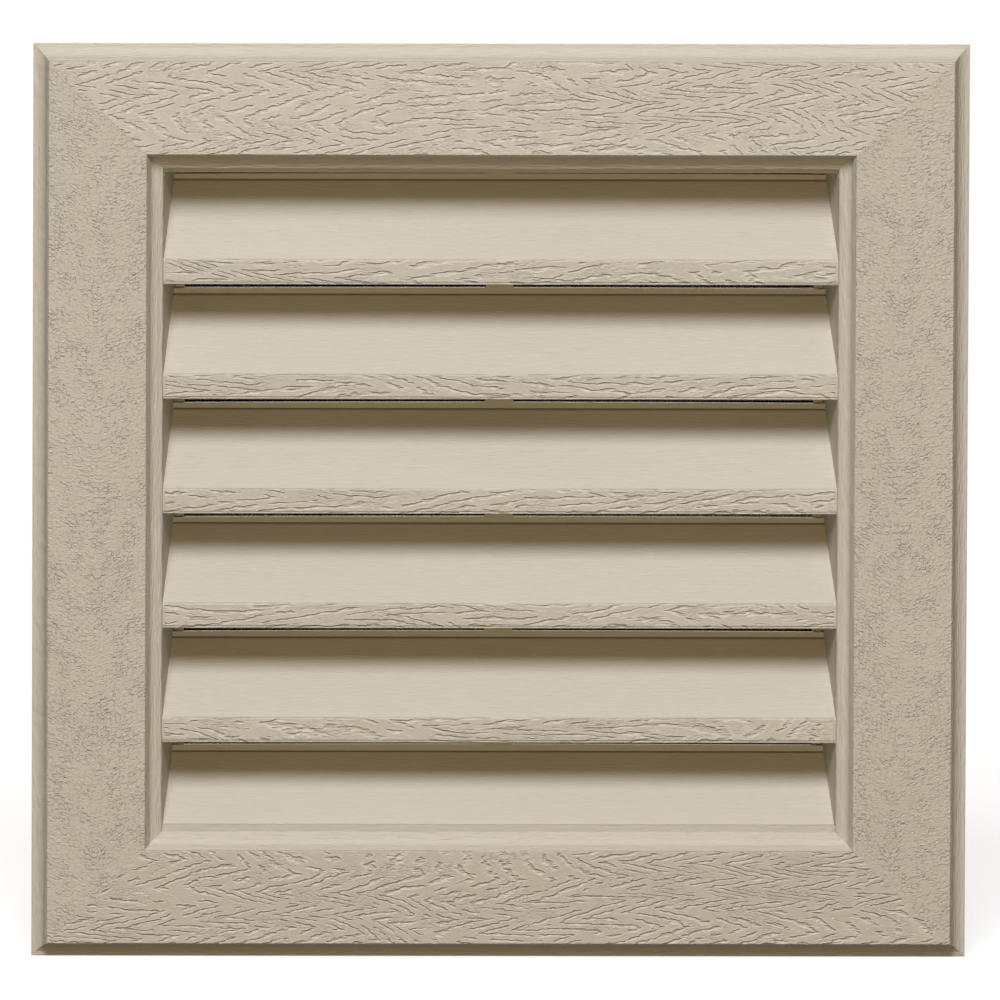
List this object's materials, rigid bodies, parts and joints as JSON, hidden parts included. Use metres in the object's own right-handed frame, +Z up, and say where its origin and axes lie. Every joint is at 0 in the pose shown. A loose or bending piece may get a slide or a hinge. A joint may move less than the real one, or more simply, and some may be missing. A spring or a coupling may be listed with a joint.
{
  "type": "gable vent",
  "caption": "Square gable vent: a moulded picture-frame surround with wood-grain faces, sloping louvres with hanging noses, a drafted housing behind and an insect screen.",
  "frame": {"origin": "centre of the vent on the wall plane, where the rim of the surround meets the wall", "axes": "-Y out of the wall towards the viewer, +Y into the wall, +X to the viewer's right, +Z up"},
  "size_m": [0.3682, 0.0443, 0.364],
  "materials": {
    "body_polymer": "mould-coloured clay beige, matt, embossed wood grain",
    "screen_mesh": "dark coated woven mesh"
  },
  "bodies": {
    "root": {"vent_body": "body_polymer", "insect_screen": "screen_mesh"}
  },
  "joints": []
}
